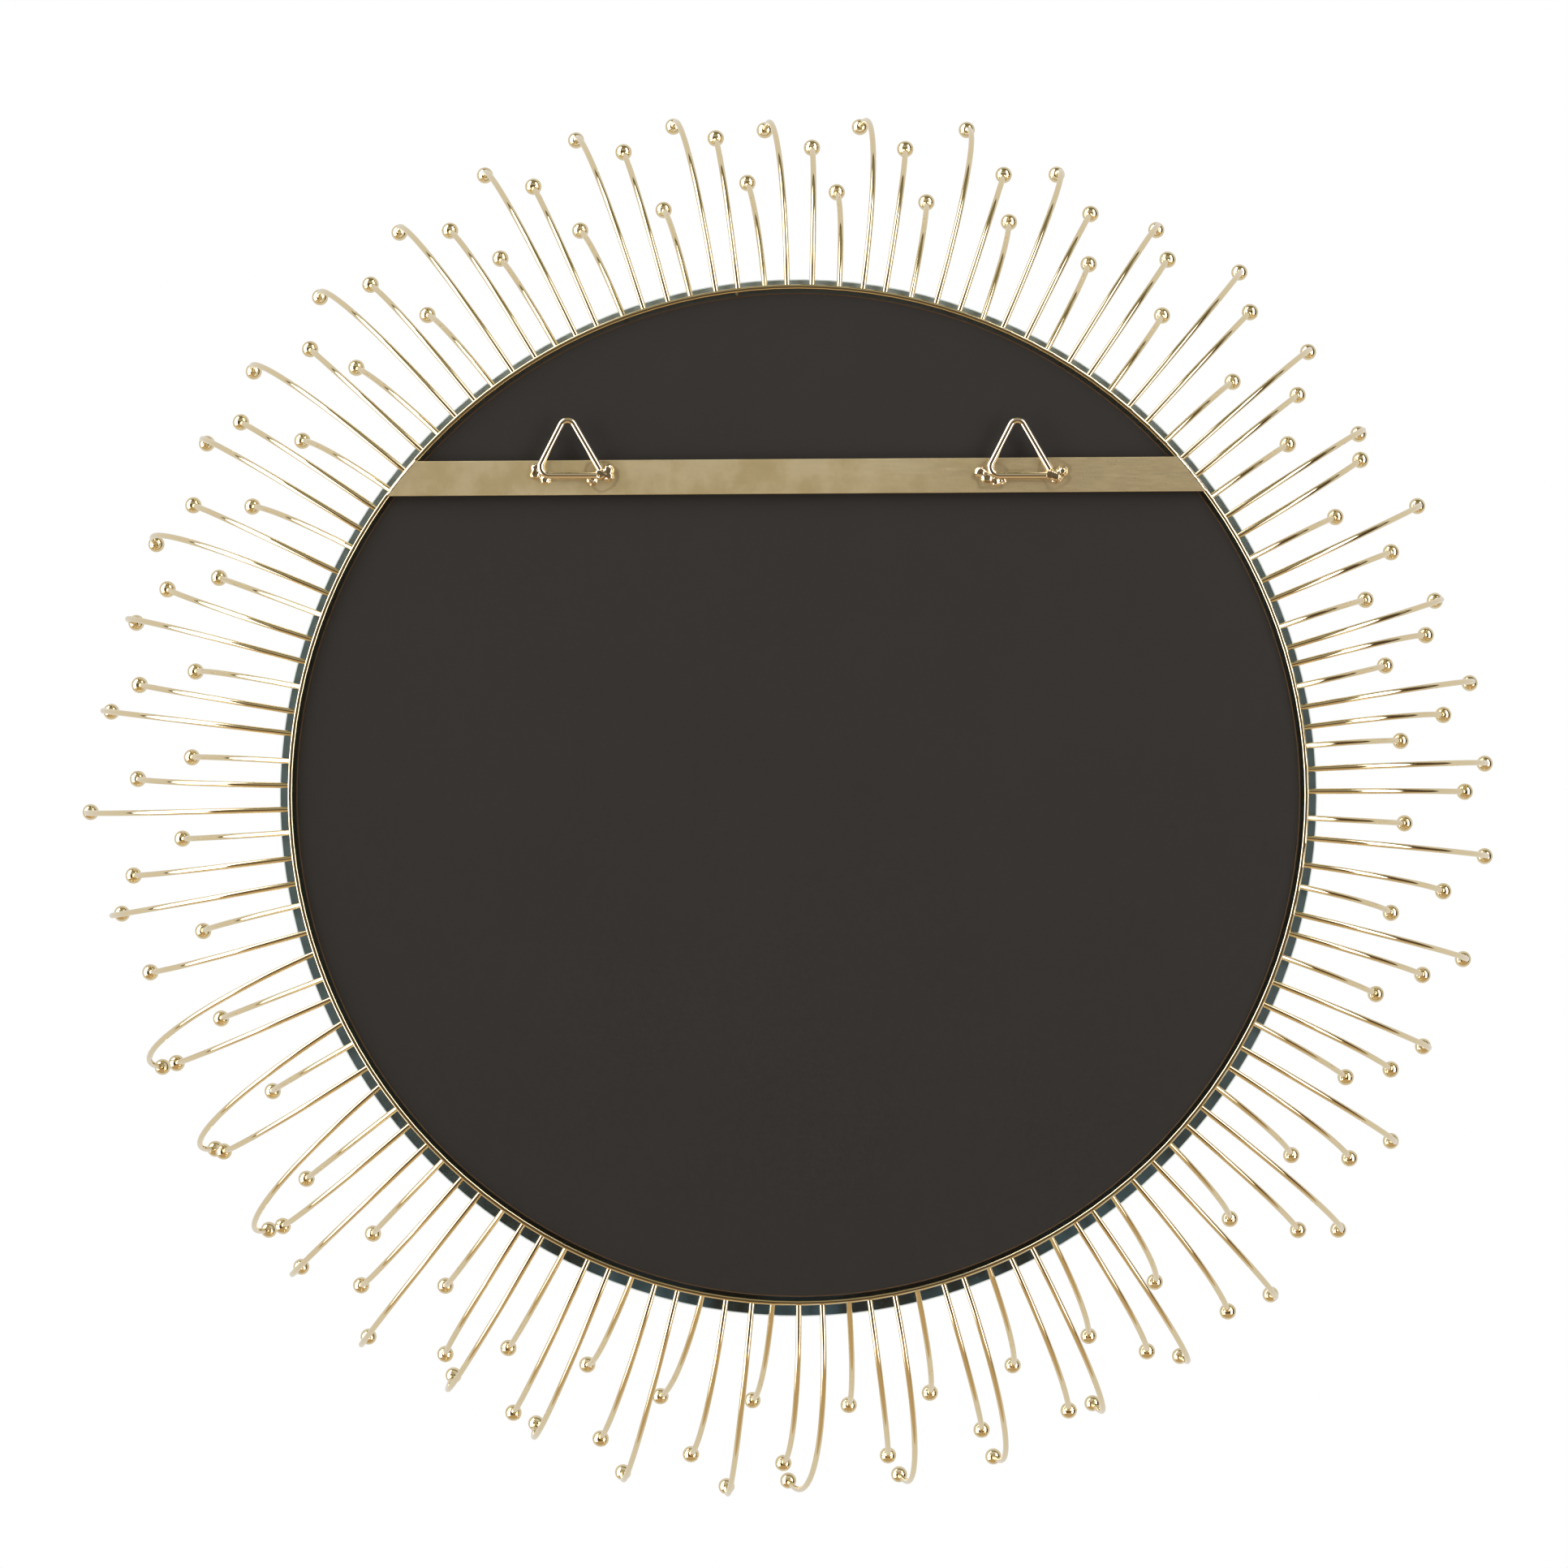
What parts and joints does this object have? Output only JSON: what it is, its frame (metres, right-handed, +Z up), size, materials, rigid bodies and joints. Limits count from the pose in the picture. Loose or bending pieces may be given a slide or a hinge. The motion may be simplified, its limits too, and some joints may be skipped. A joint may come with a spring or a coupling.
{
  "type": "sunburst wall mirror",
  "caption": "Round wall mirror in a thin metal rim ringed by forward-curling wire spikes tipped with balls; a flat strap with two wire loops across its back hangs it on a wall.",
  "frame": {"origin": "on the wall plane, straight behind the middle of the rim band", "axes": "+Z up as it hangs, +Y out from the wall towards the viewer of the glass, +X to the right as seen from behind"},
  "size_m": [0.6363, 0.1215, 0.6214],
  "materials": {
    "mirror_glass": "clear float glass with a ground chamfer",
    "silvering": "bright silvering",
    "back_paint": "teal-grey mirror backing paint, satin",
    "adhesive": "pale mounting adhesive",
    "board": "near-black sealed fibreboard with a raw tan edge",
    "rim_gold": "polished pale gold",
    "strap_gold": "satin champagne gold, heat-tinted near its welds",
    "hanger_gold": "polished pale gold",
    "weld_gold": "gold-coloured weld metal, rippled",
    "wire_gold": "polished pale gold",
    "ball_gold": "polished pale gold"
  },
  "bodies": {
    "root": {"mirror_glass": "mirror_glass", "mirror_silvering": "silvering", "mirror_back_paint": "back_paint", "adhesive_pads": "adhesive", "backing_board": "board", "rim_band": "rim_gold", "rim_seam_weld": "weld_gold", "hanging_strap": "strap_gold", "strap_weld_left": "weld_gold", "strap_weld_right": "weld_gold", "hanger_left": "hanger_gold", "hanger_right": "hanger_gold", "hanger_left_closed_weld": "weld_gold", "hanger_left_open_weld": "weld_gold", "hanger_right_closed_weld": "weld_gold", "hanger_right_open_weld": "weld_gold", "long_wires_lower_right": "wire_gold", "long_wires_lower_left": "wire_gold", "long_wires_upper_left": "wire_gold", "long_wires_upper_right": "wire_gold", "long_balls_lower_right": "ball_gold", "long_balls_lower_left": "ball_gold", "long_balls_upper_left": "ball_gold", "long_balls_upper_right": "ball_gold", "medium_wires_lower_right": "wire_gold", "medium_wires_lower_left": "wire_gold", "medium_wires_upper_left": "wire_gold", "medium_wires_upper_right": "wire_gold", "medium_balls_lower_right": "ball_gold", "medium_balls_lower_left": "ball_gold", "medium_balls_upper_left": "ball_gold", "medium_balls_upper_right": "ball_gold", "short_wires_lower_right": "wire_gold", "short_wires_lower_left": "wire_gold", "short_wires_upper_left": "wire_gold", "short_wires_upper_right": "wire_gold", "short_balls_lower_right": "ball_gold", "short_balls_lower_left": "ball_gold", "short_balls_upper_left": "ball_gold", "short_balls_upper_right": "ball_gold"}
  },
  "joints": []
}
